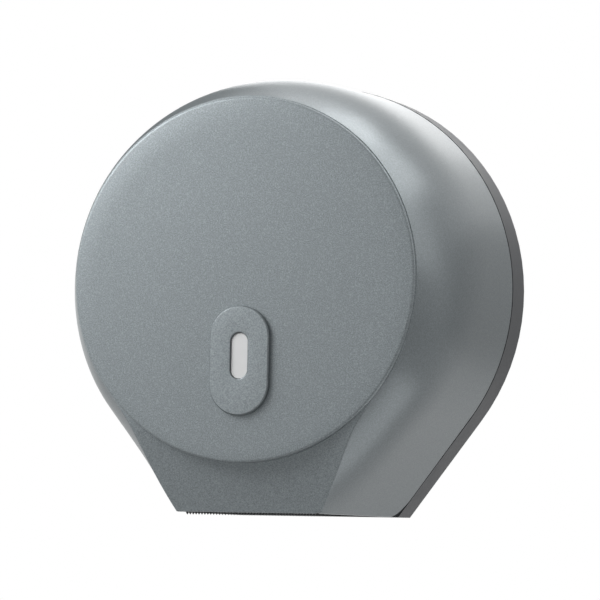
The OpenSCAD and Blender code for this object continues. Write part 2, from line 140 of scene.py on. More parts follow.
LOCK_DEEP = 0.0104  # from the crown to the boss's flat end
LOCK_FLOOR = REAR_R - DRAFT * (DISC_Y + REAR - LOCK_Y) / REAR - LOCK_DEEP
CROWN = REAR_R - DRAFT - SHOULDER_R  # how far the cheek swells in all
cover_low, cover_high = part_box("front_cover")
print("CAD cover:", [round(v, 4) for v in (*cover_low, *cover_high)])

# %% [markdown]
# ## The cover's outline at a depth
#
# At every depth the outline is a circle with a straight flank on each side, like a keyhole.
# It is written as a function of u: 0 to 1 climbs the right flank, 1 to 2 goes over the top
# and 2 to 3 comes down the left flank. The circle grows with depth, fast behind the shoulder
# and then hardly at all, which gives the bulging cheek.

# %% Outline and depth functions


def shaping(depth, over):
    """What is left of a shaping at the front: (1 - (depth - step) / over) cubed."""
    return (1 - np.clip((depth - STEP) / over, 0, 1)) ** 3


def cheek_radius(depth, low=0.0):
    """Rear radius, less the draft that is left, less the crown times the shaping. The bulge
    is reached sooner low down: low goes from 0 over the top to 1 on the flanks."""
    over = BULGE + (LOW_BULGE - BULGE) * low
    return REAR_R - DRAFT * (REAR - depth) / (REAR - STEP) - CROWN * shaping(depth, over)


def outline(u, depth, inset):
    """Points (x, z) of the outline. The flank is the tangent that leaves the circle at the
    angle a and passes the foot; t runs down it, and its front is hollowed by
    dip * 4 t (1 - t). The share t that ends at the foot's height is found in six rounds."""
    r = cheek_radius(depth, 1.0)
    foot = CHIN_FOOT + (REAR_FOOT - CHIN_FOOT) * (depth - CHIN_BACK) / (REAR - CHIN_BACK)
    a = np.arctan2(-FOOT_Z, foot) + np.arccos(r / np.hypot(foot, FOOT_Z))
    length = (FOOT_Z + r * np.sin(a)) / np.cos(a)
    left = u > 1.5
    t_full = np.clip(np.where(left, u - 2, 1 - u), 0, 1)

    def reach(t):
        """How far from the roll's axis the flank's line lies: the radius, less the inset and
        the hollow, which begins softly."""
        soft = (1 + DIP_EASE) * t * t / (t + DIP_EASE)
        return r - inset - DIP * shaping(depth, DIP_BACK) * 4 * soft * (1 - soft)

    end = np.ones_like(t_full)
    for _ in range(6):
        end = (FOOT_Z + reach(end) * np.sin(a)) / (length * np.cos(a))
    t = t_full * end
    x = reach(t) * np.cos(a) + length * t * np.sin(a)
    z = reach(t) * np.sin(a) - length * t * np.cos(a)
    b = a + (np.pi - 2 * a) * np.clip(u - 1, 0, 1)
    low = np.clip((LOW_FROM - np.minimum(b, np.pi - b)) / (LOW_FROM - a), 0, 1)
    r = cheek_radius(depth, low * low * (3 - 2 * low))
    on_arc = (u >= 1) & (u <= 2)
    x = np.where(on_arc, (r - inset) * np.cos(b), np.where(left, -x, x))
    return x, np.where(on_arc, (r - inset) * np.sin(b), z)


def edge_fall(t):
    """How far back the front edge lies t of the way down a flank: level at first, then a
    straight slope from two fifths down, with a soft bend between them, which is
    (v + sqrt(v squared + ease)) / 2."""
    def bend(v):
        """A soft corner: nearly 0 below v = 0, and nearly v above it."""
        return (v + np.sqrt(v * v + FALL_EASE)) / 2
    v = (5 * t - 2) / 3
    return (bend(v) - bend(-2 / 3)) / (bend(1.0) - bend(-2 / 3))


flank_t = np.linspace(0, 1, 400)
flank_depth = STEP + (CHIN_BACK - STEP) * edge_fall(flank_t)
flank_z = outline(1 - flank_t, flank_depth, 0)[1]


def chin_depth(z):
    """Depth of the shoulder and chin at a height: the flank's front edge, read by height."""
    return np.interp(z, flank_z[::-1], flank_depth[::-1])


def first_depth(u, inset, front):
    """Depth at which the cheek starts: that of the chin at the outline's own height, found
    in thirty rounds because that height depends on the depth."""
    depth = np.full_like(u, STEP + front)
    for _ in range(30):
        depth = chin_depth(outline(u, depth, inset)[1]) + front
    return depth


def last_depth(u, inset):
    """Depth of the rear edge. Its foot is a quarter of an ellipse that ends under the hinge,
    so that it clears the tray as the cover tips."""
    depth = np.full_like(u, REAR)
    for _ in range(30):
        down = (CORNER_UP - FOOT_Z - outline(u, depth, inset)[1]) / CORNER_UP
        arc = CORNER_BACK * np.sqrt(1 - np.clip(down, 0, 1) ** 2)
        depth = np.where(down > 0, np.minimum(REAR, HINGE_Y - DISC_Y + arc), REAR)
    return depth


print("front edge at the foot:", np.round(outline(np.array([0.0]), CHIN_BACK, 0), 4).ravel())

# %% [markdown]
# ## The cover's two skins
#
# A moulding has a wall, and Solidify would give it one, but here the inside isn't an even
# offset: the disc is a pocket, the edges are softer and the foot is open. So one function
# makes a whole skin, and it is called twice, once outside and once inside. Its grids are the
# disc, the disc's rolled edge and side, the shoulder and chin, the soft front edge, and the
# cheek. Both skins have the same rows and columns, so the rims between them join up exactly.

# %% One skin of the cover
FLANK, ARC, FOOT = 34, 168, 24  # columns on a flank, over the top and along the foot
# U is the outline's u for each column. S is the share of the cheek's depth for each row.
U = np.concatenate([np.linspace(0, 1, FLANK + 1)[:-1], np.linspace(1, 2, ARC + 1),
                    np.linspace(2, 3, FLANK + 1)[1:]])
S_LOW, S_HIGH = 0.6, 0.955  # the rows are even here, where the lock goes through
S = np.concatenate([np.linspace(0, 1, 27)[:-1] ** 1.4 * S_LOW, np.linspace(S_LOW, S_HIGH, 17),
                    np.linspace(S_HIGH, 1, 4)[1:]])


def place(x, depth, z):
    """Points from x, depth and z: y is the disc's y plus the depth."""
    x, depth, z = np.broadcast_arrays(x, depth, z)
    return np.stack([x, DISC_Y + depth, z], -1)


def pill(width, height, drop, angle):
    """A loop (x, z) of a pill shape about its own centre: along each angle, either the
    straight side or the round cap, whichever the ray from the centre meets."""
    w, h = width / 2, (height - width) / 2
    c, s = np.cos(angle), np.sin(angle)
    side = w / np.maximum(np.abs(c), 1e-9)
    cap = h * np.abs(s) + np.sqrt(np.maximum(w * w - h * h * c * c, 0))
    far = np.where(np.abs(s) * side <= h, side, cap)
    return far * c, far * s - drop


def cover_skin(inset, front, disc_r, edge_r, soft):
    """The grids of one skin, the cheek's points, and the open edges of window and foot.
    The soft front edge is the curve (1 - v)^2 a + 2 v (1 - v) b + v^2 c from the chin's side
    a past the corner b to the cheek's side c. The disc's edge is a quarter round, r (1 - sin)
    inwards and r (1 - cos) back."""
    first, last = first_depth(U, inset, front), last_depth(U, inset)
    x, z = outline(U, first, inset)
    corner = place(x, first, z)
    ring_r = disc_r + FILLET
    angle = np.arctan2(z, x)
    inward = np.stack([ring_r * np.cos(angle) - x, ring_r * np.sin(angle) - z], -1)
    width = np.linalg.norm(inward, axis=1)
    cut = np.minimum(soft, 0.45 * width)
    chin_x, chin_z = (np.stack([x, z], -1) + inward * (cut / width)[:, None]).T
    chin_side = place(chin_x, chin_depth(chin_z) + front, chin_z)
    cheek_x, cheek_z = outline(U, first + cut, inset)
    cheek_side = place(cheek_x, first + cut, cheek_z)
    v = np.linspace(0, 1, 7)[:, None, None]
    soft_edge = (1 - v) ** 2 * chin_side + 2 * v * (1 - v) * corner + v ** 2 * cheek_side

    depth = (first + cut)[None] + (last - first - cut)[None] * S[:, None]
    cheek_x, cheek_z = outline(U[None], depth, inset)
    cheek = place(cheek_x, depth, cheek_z)

    foot_x = np.linspace(x[-1], x[0], FOOT + 1)[1:-1]
    foot_line = place(foot_x, first[0], -FOOT_Z)
    rim = np.vstack([chin_side, foot_line])
    angle = np.arctan2(rim[:, 2], rim[:, 0])
    k = np.linspace(0, 1, 9)[:, None]
    chin_x = rim[:, 0] + (ring_r * np.cos(angle) - rim[:, 0]) * k
    chin_z = rim[:, 2] + (ring_r * np.sin(angle) - rim[:, 2]) * k
    chin = place(chin_x, chin_depth(chin_z) + front, chin_z)

    base = chin_depth(ring_r * np.sin(angle)) + front
    turn = np.linspace(0, np.pi / 2, 7)[:, None]
    radius = np.vstack([disc_r - edge_r * (1 - np.sin(turn)), np.full((3, 1), disc_r),
                        disc_r + FILLET * (1 - np.cos(turn[::2]))]) * np.ones_like(angle)
    roll = front + edge_r * (1 - np.cos(turn)) * np.ones_like(angle)
    side = roll[-1] + (base - FILLET - roll[-1]) * np.array([[0.25], [0.5], [0.75]])
    fillet = base - FILLET + FILLET * np.sin(turn[::2])
    wall = place(radius * np.cos(angle), np.vstack([roll, side, fillet]), radius * np.sin(angle))

    rim_x, rim_z = radius[0] * np.cos(angle), radius[0] * np.sin(angle)
    toward = np.arctan2(rim_z + WINDOW_DROP, rim_x)
    window = pill(WINDOW_W, WINDOW_H, WINDOW_DROP, toward)
    face = between(place(rim_x, front, rim_z), place(window[0], front, window[1]), 9)

    foot = np.vstack([cheek[::-1, 0], soft_edge[-2::-1, 0], foot_line[::-1],
                      soft_edge[:, -1], cheek[1:, -1]])
    grids = [grid(soft_edge), grid(chin, True), grid(wall, True), grid(face, True)]
    return grids, cheek, face[-1], foot


outside, cheek_out, window_out, foot_out = cover_skin(
    inset=0, front=0, disc_r=DISC_R, edge_r=0.0018, soft=0.0007)
inside, cheek_in, window_in, foot_in = cover_skin(
    inset=WALL, front=FRONT, disc_r=DISC_R - WALL, edge_r=0.0005, soft=0.0005)
print("cheek grid:", cheek_out.shape[:2], "foot edge:", len(foot_out), "points")

# %% [markdown]
# ## The lock's hole
#
# The lock goes through a round hole in the crown, in a thick boss. A boolean could cut it,
# but it leaves slivers on a curved grid. Instead a block of the cheek's grid is left out, and
# a ring of rows runs from the block's edge to the circle, with each height read from the
# cheek's own radius. Loops of the same points then line the hole and wrap the boss.

# %% The lock's hole and boss
COL, ROW = (len(U) // 2 - 9, len(U) // 2 + 9), (26, 42)  # the block of the cheek's grid
LIP_R = 0.0005  # round of the hole's lip


def without_block(points):
    """The cheek's grid in four parts round the block that the lock takes."""
    (c0, c1), (r0, r1) = COL, ROW
    return [grid(points[:, :c0 + 1]), grid(points[:, c1:]),
            grid(points[:r0 + 1, c0:c1 + 1]), grid(points[r1:, c0:c1 + 1])]


def block_edge(points):
    """The block's edge as one closed loop."""
    (c0, c1), (r0, r1) = COL, ROW
    return np.vstack([points[r0, c0:c1], points[r0:r1, c1], points[r1, c1:c0:-1],
                      points[r1:r0:-1, c0]])


def lock_loop(radius, angle, inset):
    """A circle about the lock's axis on a skin: z = sqrt((cheek radius - inset)^2 - x^2)."""
    x, y = radius * np.cos(angle), LOCK_Y + radius * np.sin(angle)
    return np.stack([x, y, np.sqrt((cheek_radius(y - DISC_Y) - inset) ** 2 - x * x)], -1)


def crown_ring(edge, loop, inset):
    """Rows from the block's edge to the loop, each height read from the cheek's radius."""
    rows = between(edge, loop, 7)
    r = cheek_radius(rows[..., 1] - DISC_Y) - inset
    rows[1:-1, :, 2] = np.sqrt(r ** 2 - rows[..., 0] ** 2)[1:-1]
    return rows


edge = block_edge(cheek_out)
about = np.arctan2(edge[:, 1] - LOCK_Y, edge[:, 0])
lip = lock_loop(LOCK_HOLE + LIP_R, about, 0)
turn = np.linspace(0, np.pi / 2, 5)[:, None]
hole_r = LOCK_HOLE + LIP_R * (1 - np.sin(turn)) * np.ones_like(about)
hole_z = lip[:, 2] - LIP_R * (1 - np.cos(turn))
hole = np.stack([hole_r * np.cos(about), LOCK_Y + hole_r * np.sin(about), hole_z], -1)


def level_loop(radius):
    """A circle about the lock's axis at the height of the boss's flat end."""
    return np.stack([radius * np.cos(about), LOCK_Y + radius * np.sin(about),
                     np.full_like(about, LOCK_FLOOR)], -1)


boss_top = lock_loop(LOCK_BOSS, about, WALL)
lock_grids = [grid(rows, True) for rows in (
    crown_ring(edge, lip, 0), hole, between(hole[-1], level_loop(LOCK_HOLE), 4),
    between(level_loop(LOCK_HOLE), level_loop(LOCK_BOSS), 4),
    between(level_loop(LOCK_BOSS), boss_top, 4),
    crown_ring(block_edge(cheek_in), boss_top, WALL))]
print("lock hole:", len(about), "points round")

# %% [markdown]
# ## The rims and the hinge bosses
#
# Between the skins lie three thin rims: the rear edge, the foot and the window. They could be
# flat strips, but a flat strip on a moulding looks cut, so the first two are raised a little
# in the middle. Two short sleeves inside the foot take the hinge pins.

# %% Rims between the skins, and the hinge bosses
SLEEVE_R, PIN_HOLE_R, SLEEVE_END = 0.007, 0.00256, 0.05495
FLANK_FOOT, FLANK_SLOPE = 0.0570, 0.727  # where the flank meets the foot, and its lean


def crowned(a, b, push, height, around=False):
    """A rim from edge a to edge b, raised in the middle by height * (1 - (2w - 1)^2), and
    level at an open rim's ends, where the next rim joins on."""
    w = np.linspace(0, 1, 5)[:, None, None]
    rise = height * (1 - (2 * w - 1) ** 2) * np.ones((1, len(a), 1))
    if not around:
        rise[:, [0, -1]] = 0
    return grid(a + (b - a) * w + np.array(push) * rise, around)


def hinge_boss(side):
    """A sleeve round the hinge pin: it grows out of the flank, so its far end follows the
    flank's slope, x = foot + slope * (height above the foot)."""
    angle = np.linspace(0, 2 * np.pi, 49)[:-1]
    rows = []
    for radius, at_wall in ((SLEEVE_R, 0), (SLEEVE_R, 1), (PIN_HOLE_R, 1), (PIN_HOLE_R, 0),
                            (SLEEVE_R, 0)):
        y, z = HINGE_Y + radius * np.cos(angle), HINGE_Z + radius * np.sin(angle)
        end = np.full_like(angle, SLEEVE_END)
        x = FLANK_FOOT + FLANK_SLOPE * (z + FOOT_Z) if at_wall else end
        rows.append(np.stack([side * x, y, z], -1))
    return grid(np.stack(rows), True)


rims = [crowned(cheek_out[-1], cheek_in[-1], (0, 1, 0), FILLET),
        crowned(foot_out, foot_in, (0, 0, -1), FILLET),
        crowned(window_out, window_in, (0, 0, 0), 0, True)]
cover = new_piece("cover_shell", outside + inside + without_block(cheek_out)
                  + without_block(cheek_in) + lock_grids + rims
                  + [hinge_boss(-1), hinge_boss(1)])

# %% [markdown]
# ## The window
#
# A raised pill-shaped plate, the bezel, frames a short slot. Behind the slot sits a milky
# pane whose raised middle fills it, so the roll's level shows as a change of brightness. Both
# are rows of pill loops. The bezel's outer edge is chamfered, and the ends of the chamfer and
# the slot's edge are rolled, where a finger would feel them.

# %% Bezel and pane
BEZEL_W, BEZEL_H, BEZEL_DROP = 0.040, 0.0685, 0.051
SLOT_W, SLOT_H, SLOT_ROLL = 0.0115, 0.029, 0.0006
NECK_W, NECK_H = 0.0238, 0.0438  # the bezel's neck, which goes into the cover's window
BEZEL_FRONT, NECK_BACK = -0.1530, -0.1455
EDGE_ROLL, CHAMFER, CHAMFER_TURN = 0.0005, 0.0007, math.radians(40)
around_pill = np.linspace(0, 2 * np.pi, 193)[:-1]
roll = np.linspace(0, np.pi / 2, 8)


def pill_row(width, height, drop, y, angle):
    """A pill loop at the depth y: (x, y, z) with x and z from the pill's outline."""
    x, z = pill(width, height, drop, angle)
    return np.stack([x, np.full_like(x, y), z], -1)


def bezel_edge():
    """Cut and rise of the bezel's outer edge: a quarter round of radius r, (r (1 - cos t),
    r sin t), opened at the chamfer's angle to let in a straight run along its tangent."""
    hair = 1e-4  # radians on each side of the run's ends
    for t in sorted([*roll, CHAMFER_TURN - hair, CHAMFER_TURN + hair]):
        run = CHAMFER if t > CHAMFER_TURN else 0
        yield (EDGE_ROLL * (1 - math.cos(t)) + run * math.sin(CHAMFER_TURN),
               EDGE_ROLL * math.sin(t) + run * math.cos(CHAMFER_TURN))


def window_rows():
    """Rows of the bezel from its back edge, over the front and through the slot."""
    edge = list(bezel_edge())
    for cut, rise in edge:
        yield (BEZEL_W - 2 * cut, BEZEL_H - 2 * cut, BEZEL_DROP,
               BEZEL_FRONT + edge[-1][1] - rise)
    for t in roll:
        cut, back = SLOT_ROLL * (1 - math.sin(t)), SLOT_ROLL * (1 - math.cos(t))
        yield SLOT_W + 2 * cut, SLOT_H + 2 * cut, WINDOW_DROP, BEZEL_FRONT + back
    yield SLOT_W, SLOT_H, WINDOW_DROP, NECK_BACK
    yield NECK_W, NECK_H, WINDOW_DROP, NECK_BACK
    yield NECK_W, NECK_H, WINDOW_DROP, DISC_Y
    yield BEZEL_W, BEZEL_H, BEZEL_DROP, DISC_Y


bezel_rows = list(window_rows())
bezel_rows.append(bezel_rows[0])
bezel = new_piece("bezel_plate", [grid(np.stack([pill_row(*row, around_pill)
                                                 for row in bezel_rows]), True)])

PANE_W, PANE_H, PANE_BACK = 0.020, 0.040, -0.1439
RAISED_W, RAISED_H, RAISED_FRONT = 0.0113, 0.0288, -0.1518  # the middle that fills the slot
PANE_CHAMFER = 0.0003
pane_rows = [(PANE_W, PANE_H, PANE_BACK), (PANE_W, PANE_H, NECK_BACK),
             (RAISED_W, RAISED_H, NECK_BACK), (RAISED_W, RAISED_H, RAISED_FRONT + PANE_CHAMFER),
             (RAISED_W - 2 * PANE_CHAMFER, RAISED_H - 2 * PANE_CHAMFER, RAISED_FRONT)]
pane_loops = np.stack([pill_row(w, h, WINDOW_DROP, y, around_pill) for w, h, y in pane_rows])


def closed_by_poles(loops):
    """The loops with a pole at each end: the first and the last loop shrink to a point."""
    first, last = (np.broadcast_to(loop.mean(0), loop.shape) for loop in (loops[0], loops[-1]))
    return grid(np.concatenate([first[None], loops, last[None]]), True)


pane = new_piece("level_pane", [closed_by_poles(pane_loops)])

# %% [markdown]
# ## The roll and its core
#
# The roll is one long sheet wound on a cardboard tube. Modelling every layer would cost
# millions of faces, so the roll is a turned shape with two honest details: the outside is a
# spiral that ends in a small step, where the sheet's free end lies, and the flat ends
# ripple a little, as the edges of the layers do. The core is a tube of wound card, whose
# seam runs inside it as a shallow spiral groove.

# %% Roll
ROLL_BACK, ROLL_FRONT, ROLL_R = -0.0298, -0.1218, 0.095
CORE_R = 0.030
SHEET_STEP = 0.0004  # height of the step at the sheet's free end
END_IN, SIDE_IN, EDGE_IN = 0.0004, 0.0008, 0.0006  # how far the edges are set in
FREE_END, RIPPLE, LAYERS_HIGH = math.radians(250), 0.00008, 0.00005


def turned(radius, y, angle):
    """A shape turned about the y axis: (r cos a, y, r sin a) for every row and angle."""
    radius, y, angle = np.broadcast_arrays(radius, y, angle)
    return np.stack([radius * np.cos(angle), y, radius * np.sin(angle)], -1)


def layer_ripple(radius, angle):
    """How far the layers' edges stand in or out: a sum of sines of the radius and angle."""
    return LAYERS_HIGH * (np.sin(radius * 540 + angle) + np.sin(radius * 1270 + 1.3)
                          + 0.6 * np.sin(radius * 1910 + 2 * angle))


angle = np.linspace(0, 2 * np.pi, 181) + FREE_END
outer_r = ROLL_R - SHEET_STEP + SHEET_STEP * (angle - angle[0]) / (2 * np.pi)
share = np.linspace(0, 1, 46)[:, None]
end_r = CORE_R + (outer_r - EDGE_IN - CORE_R) * share
front_end = turned(end_r, ROLL_FRONT + END_IN + layer_ripple(end_r, angle), angle)
back_end = turned(end_r, ROLL_BACK - END_IN + layer_ripple(end_r, angle), angle)
outer_y = np.linspace(ROLL_FRONT + SIDE_IN, ROLL_BACK - SIDE_IN, 25)[:, None]
outer = turned(outer_r + RIPPLE * np.sin(outer_y * 900 + 3 * angle), outer_y, angle)
bore_y = np.linspace(ROLL_BACK - END_IN, ROLL_FRONT + END_IN, 4)[:, None]
bore = turned(CORE_R, bore_y, angle)
bore[0], bore[-1] = back_end[0], front_end[0]
roll_rows = np.concatenate([front_end, outer, back_end[::-1], bore[1:]])
free_end = roll_rows[:, [-1, 0]]
paper = new_piece("wound_paper", [grid(roll_rows), grid(free_end)], sharp=50)

# %% Core
CORE_T, CORE_GAP = 0.0018, 0.00002  # the card's thickness, and the gap to the paper
SEAM_DEEP, SEAM_LEAD, SEAM_FROM = 0.00012, 0.11, 0.47
angle = np.linspace(0, 2 * np.pi, 129)[:-1]
tube_y = np.linspace(ROLL_BACK, ROLL_FRONT, 40)[:, None]
seam = np.abs((angle / (2 * np.pi) + tube_y / SEAM_LEAD) % 1 - 0.5) > SEAM_FROM
tube_in = turned(CORE_R - CORE_T + SEAM_DEEP * seam, tube_y, angle)
tube_out = turned(CORE_R - CORE_GAP, tube_y[::-1], angle)
core = new_piece("core_tube", [grid(np.concatenate([tube_in, tube_out, tube_in[:1]]), True)])

# %% [markdown]
# ## Pieces taken over from the CAD model
#
# The tray, hub, spindle, lock and metal pieces already have the right shape, but every real
# edge is a little round and catches the light. A copy of each is welded, because the packed
# mesh is loose triangles, flat neighbours are joined, and a small bevel rounds the edges.
# Weighted normals then shade each flat face flat, up to where its round begins.

# %% Softened copies
FLAT_WITHIN, EDGE_FROM = math.radians(1), math.radians(32)  # joined below, bevelled above


def softened(name, node, width):
    """A welded copy of a CAD node with its edges rounded by a bevel of the given width."""
    mesh = nodes[node].data.copy()
    mesh.name = name
    work = bmesh.new()
    work.from_mesh(mesh)
    bmesh.ops.remove_doubles(work, verts=work.verts, dist=2 * WELD)
    bmesh.ops.dissolve_limit(work, angle_limit=FLAT_WITHIN, verts=work.verts,
                             edges=work.edges, delimit={"NORMAL"})
    work.to_mesh(mesh)
    work.free()
    mesh.materials.clear()
    mesh.shade_smooth()
    piece = in_scene(name, mesh)
    bevel = piece.modifiers.new("soft edges", "BEVEL")
    bevel.width, bevel.segments = width, 2
    bevel.limit_method, bevel.angle_limit = "ANGLE", EDGE_FROM
    bevel.use_clamp_overlap, bevel.miter_outer = True, "MITER_ARC"
    level = piece.modifiers.new("flat faces stay flat", "WEIGHTED_NORMAL")
    level.mode, level.weight, level.keep_sharp = "FACE_AREA", 60, True
    return piece


# For each CAD node, the name of its copy and the width of the bevel.
COPIES = {
    "base_plate": ("tray_moulding", 0.0004), "spindle_post": ("axle_moulding", 0.0005),
    "roll_hub": ("hub_moulding", 0.0004), "tear_strip": ("tear_edge", 0.00012),
    "pane_retainer": ("pane_frame", 0.0003), "lock_housing": ("lock_body", 0.0004),
    "lock_barrel": ("lock_plug", 0.0002), "lock_cam": ("cam_plate", 0.0003),
    "lock_strike": ("strike_plate", 0.0003), "friction_washer": ("drag_washer", 0.0003),
    "hub_washer": ("axle_washer", 0.0003), "hub_screw": ("axle_screw", 0.0003),
    "hinge_pin_left": ("left_pin", 0.0003), "hinge_pin_right": ("right_pin", 0.0003),
    "cam_screw": ("cam_bolt", 0.0002), "spindle_screws": ("axle_screws", 0.0002),
    "retainer_screws": ("frame_screws", 0.0002), "tear_strip_screws": ("edge_screws", 0.0002),
    "housing_screws": ("lock_screws", 0.0002), "strike_screws": ("strike_bolts", 0.0002),
}
pieces = {"front_cover": cover, "window_bezel": bezel, "window_pane": pane,
          "paper_roll": paper, "roll_core": core}
for node, (name, width) in COPIES.items():
    pieces[node] = softened(name, node, width)
print("softened copies:", len(COPIES))

# %% Each piece rides where its CAD node does
slot_of = {part["node"]: part["material_slot"] for part in frame["record"]["subparts"]}
body_of = {n: body for body, names in frame["record"]["behaviour"]["bodies"].items()
           for n in names}
for node, piece in pieces.items():
    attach(piece, body_of[node])
    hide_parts(node)
print("pieces:", len(pieces), "of", len(nodes), "nodes")

# %% [markdown]
# ## Finishes
#
# A finish is a shader with nodes that vary it over the surface. All of them read Object
# coordinates, so that a pattern has a real size in metres. Steady numbers are set on the
# shader itself, and only what changes over the surface comes from nodes.

# %% A helper for finishes
LOW, HIGH = 0.3, 0.7  # noise hardly leaves this range, so most ramps run from one to the other


class Finish:
    """A material whose nodes are added by name, on Object coordinates."""

    def __init__(self, name, **steady):
        """Steady numbers and colours go straight to the shader's own sockets."""
        self.material = bpy.data.materials.new(name)
        self.material.use_nodes = True
        self.nodes, self.links = self.material.node_tree.nodes, self.material.node_tree.links
        self.shader = self.nodes["Principled BSDF"]
        for key, value in steady.items():
            self.shader.inputs[key.replace("_", " ")].default_value = value
        self.where = self.nodes.new("ShaderNodeTexCoord").outputs["Object"]

    def add(self, kind, inputs=None, **settings):
        """A node of the kind, with its settings, and a link or a number for each input."""
        node = self.nodes.new("ShaderNode" + kind)
        for key, value in settings.items():
            setattr(node, key, value)
        for key, value in (inputs or {}).items():
            if isinstance(value, bpy.types.NodeSocket):
                self.links.new(value, node.inputs[key])
            else:
                node.inputs[key].default_value = value
        return node

    def noise(self, scale, detail=2.0, roughness=0.5):
        """Cloudy noise; scale is in waves per metre."""
        return self.add("TexNoise", {"Vector": self.where, "Scale": scale, "Detail": detail,
                                     "Roughness": roughness}).outputs["Fac"]

    def ramp(self, fac, stops):
        """Colours (or greys) along a value: stops are (position, colour)."""
        node = self.add("ValToRGB", {"Fac": fac})
        elements = node.color_ramp.elements
        while len(elements) < len(stops):
            elements.new(0.5)
        for element, (position, colour) in zip(elements, stops):
            element.position = position
            element.color = (*colour, 1) if isinstance(colour, tuple) else (colour,) * 3 + (1,)
        return node.outputs["Color"]

    def bump(self, height, distance, strength=1.0):
        """Normals that lean as a surface raised by the height, distance metres at most."""
        return self.add("Bump", {"Height": height, "Distance": distance,
                                 "Strength": strength}).outputs["Normal"]

    def set(self, **varied):
        """Links from what varies over the surface to the shader's own inputs."""
        for key, socket in varied.items():
            self.links.new(socket, self.shader.inputs[key.replace("_", " ")])


# %% [markdown]
# ## Sprayed silver
#
# The cover is sprayed with metallic paint. On the disc and the chin the spray was dry and
# sandy: a fine grain with tiny bright flakes. On the cheek it lies smoother and shines more,
# and its colour is set darker as painted shade, for the dim side that the cheek faces. The
# bezel's paint is set a little lighter. All are the same paint with a different grain, so one
# function makes them.

# %% Silver paint
SAND, FLAKE = 1500, 1700  # grains and flakes per metre
SAND_HIGH = 0.0004  # height of the coarsest sand, in metres
COOL = (0.90, 1.01, 1.06)  # the paint's tint, towards blue


def greyish(level):
    """A cool grey: each channel is the level times the tint."""
    return tuple(level * c for c in COOL)


def silver_paint(name, level, grain, roughness, metallic):
    """Sand darkens and lightens the paint by the share grain, and here and there a flake,
    picked by its own chance value, is as light as the lightest sand."""
    paint = Finish(name, Roughness=roughness, Metallic=metallic, Specular_IOR_Level=0.3)
    dark, light = greyish(level * (1 - grain)), greyish(level * (1 + grain))
    sand = paint.noise(SAND, 3.0, 0.7)
    flakes = paint.add("TexVoronoi", {"Vector": paint.where, "Scale": FLAKE},
                       feature="F1").outputs["Color"]
    glint = paint.ramp(flakes, [(0.0, 0.0), (0.60, 0.0), (0.97, 1.0)])
    tone = paint.ramp(sand, [(LOW, dark), (HIGH, light)])
    mixed = paint.add("Mix", {0: glint, 6: tone, 7: (*light, 1)}, data_type="RGBA")
    paint.set(Base_Color=mixed.outputs[2], Normal=paint.bump(sand, SAND_HIGH * grain, 0.5))
    return paint.material


sandy_silver = silver_paint("sandy_silver", 0.275, grain=0.36, roughness=0.37, metallic=0.30)
# The cheek's paint is the disc's paint set darker: painted shade, on top of its smoother grain.
smooth_shaded_silver = silver_paint("smooth_shaded_silver", 0.222, grain=0.22, roughness=0.29, metallic=0.32)
bezel_silver = silver_paint("bezel_silver", 0.31, grain=0.30, roughness=0.34, metallic=0.32)
print("silver paints made")

# %% [markdown]
# ## Plastics, metal, card and paper
#
# Moulded plastic takes the fine texture of its mould, and its gloss wanders a little where
# the melt cooled at different speeds. Zinc plating shows pale clouds. Card and tissue are
# matted fibres, so their noise is rougher and their bump is deeper. Pictures of real surfaces
# could be used instead, but noise has no seams and no end.

# %% Plastics, paper, card and metal
TEXTURE, CLOUD = 2400, 24  # waves per metre of the mould's texture and of the gloss's clouds
DARKER, LIGHTER = 0.93, 1.07
SPANGLE, DRAWN = 420, 3000  # waves per metre of the zinc's clouds and of its drawn grain


def plastic(name, colour, roughness, texture, gloss=0.45):
    """Moulded plastic: a fine even texture in the surface and faint clouds of gloss."""
    made = Finish(name, Specular_IOR_Level=gloss)
    cloud = made.noise(CLOUD, 3.0)
    made.set(Base_Color=made.ramp(cloud, [(LOW, tuple(c * DARKER for c in colour)),
                                          (HIGH, tuple(c * LIGHTER for c in colour))]),
             Roughness=made.ramp(cloud, [(LOW, roughness - 0.04), (HIGH, roughness + 0.05)]),
             Normal=made.bump(made.noise(TEXTURE, 2.0), texture))
    return made.material


def sheet_metal(name, level, roughness):
    """Zinc-plated steel: pale spangle clouds and a fine drawn grain."""
    made = Finish(name, Metallic=1.0)
    cloud = made.noise(SPANGLE, 4.0, 0.6)
    made.set(Base_Color=made.ramp(cloud, [(LOW, (level, level, level * 0.99)),
                                          (HIGH, (level * 1.12, level * 1.11, level * 1.08))]),
             Roughness=made.ramp(cloud, [(LOW, roughness), (HIGH, roughness + 0.12)]),
             Normal=made.bump(made.noise(DRAWN, 1.0), 0.00001))
    return made.material


dark_plastic = plastic("dark_plastic", (0.088, 0.091, 0.096), 0.48, 0.00003, 0.3)
hub_plastic = plastic("hub_plastic", (0.72, 0.72, 0.69), 0.38, 0.00002)
milky_plastic = plastic("milky_plastic", (0.94, 0.95, 0.95), 0.20, 0.00001, 0.8)
steel = sheet_metal("zinc_steel", 0.58, 0.25)
rubber = plastic("drag_rubber", (0.025, 0.025, 0.027), 0.75, 0.00004)


def fibrous(name, waves, detail, dark, light, height, **steady):
    """Card or tissue: matted fibre. Its colour is partly its own and partly painted shade,
    darker in the bump's hollows and lighter on top.
    """
    made = Finish(name, **steady)
    fibres_and_shade = made.noise(waves, detail, 0.7)
    # Painted shade: the noise that raises the bump also darkens the colour where the bump sinks.
    made.set(Base_Color=made.ramp(fibres_and_shade, [(LOW, dark), (HIGH, light)]),
             Normal=made.bump(fibres_and_shade, height))
    return made.material


core_card = fibrous("core_card", 650, 6.0, (0.30, 0.20, 0.12), (0.46, 0.33, 0.21), 0.00008,
                    Roughness=0.85)
tissue = fibrous("tissue_paper", 900, 4.0, (0.80, 0.80, 0.79), (0.90, 0.90, 0.89), 0.00012,
                 Roughness=0.92, Specular_IOR_Level=0.2)
print("finishes:", len(bpy.data.materials))
